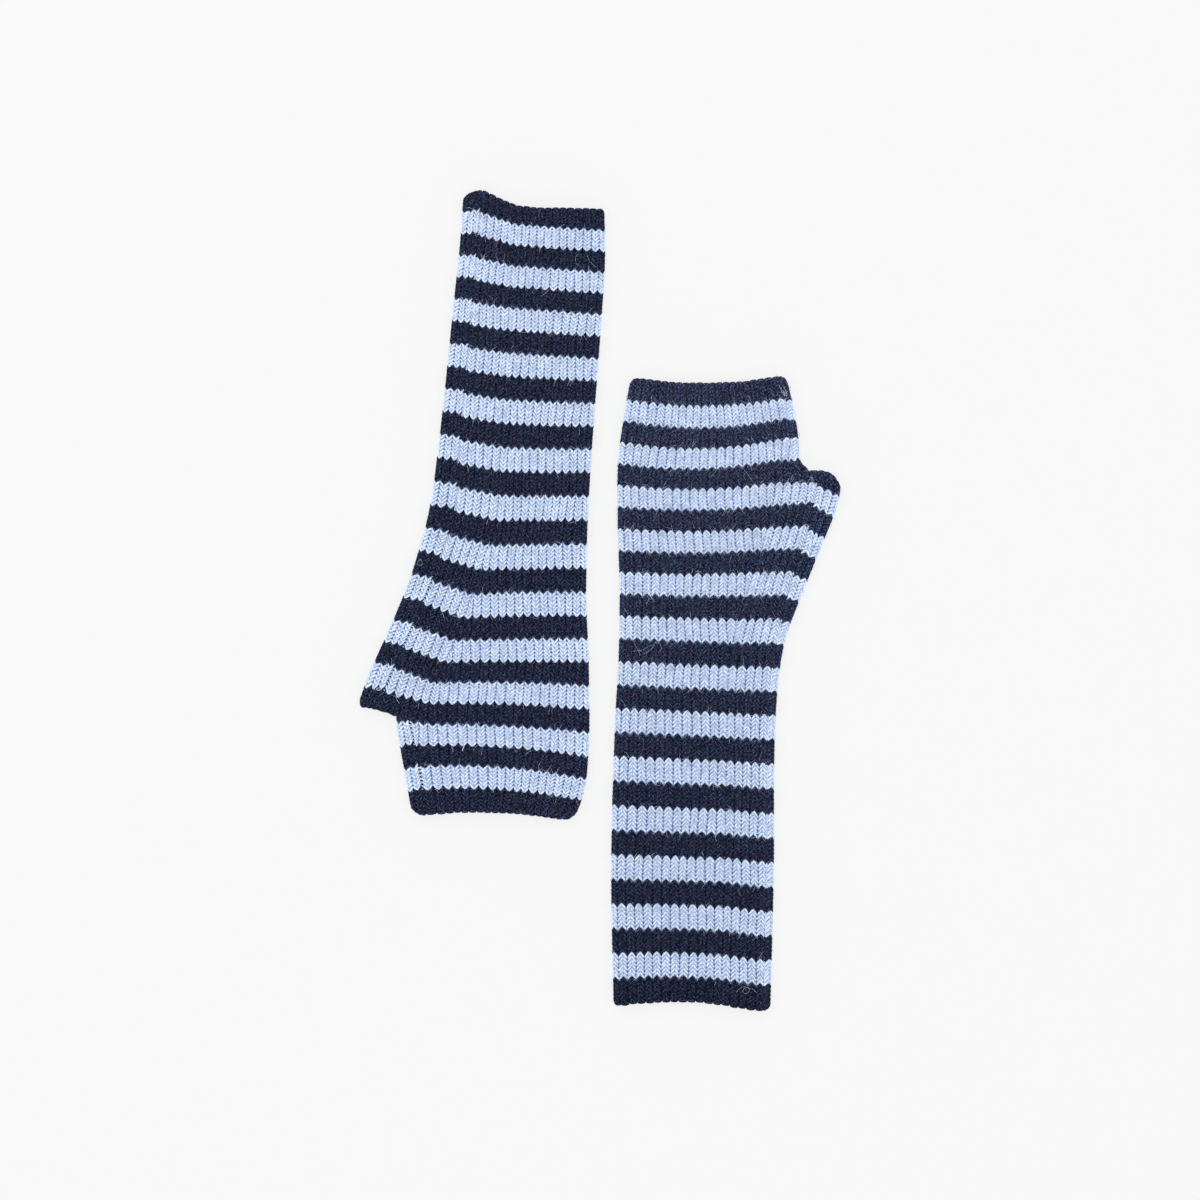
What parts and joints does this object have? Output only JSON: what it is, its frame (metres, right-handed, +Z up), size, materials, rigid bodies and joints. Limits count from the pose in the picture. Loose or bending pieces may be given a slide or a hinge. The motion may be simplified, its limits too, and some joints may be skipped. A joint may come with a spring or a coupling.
{
  "type": "pair of wrist warmers",
  "caption": "Long fingerless wrist warmers in striped rib knit, shaped for the thumb and seamed beside it, laid flat side by side.",
  "frame": {"origin": "centre of the pair's bounding box, on the surface that the pair lies on", "axes": "+X to the right and +Y to the top as seen from above, +Y along the warmers, +Z up from the surface"},
  "size_m": [0.2272, 0.389, 0.006],
  "materials": {
    "left_wool": "soft brushed lambswool rib in even navy and light blue stripes",
    "right_wool": "soft brushed lambswool rib in even navy and light blue stripes"
  },
  "bodies": {
    "root": {"left_warmer_panel": "left_wool", "right_warmer_panel": "right_wool"}
  },
  "joints": []
}
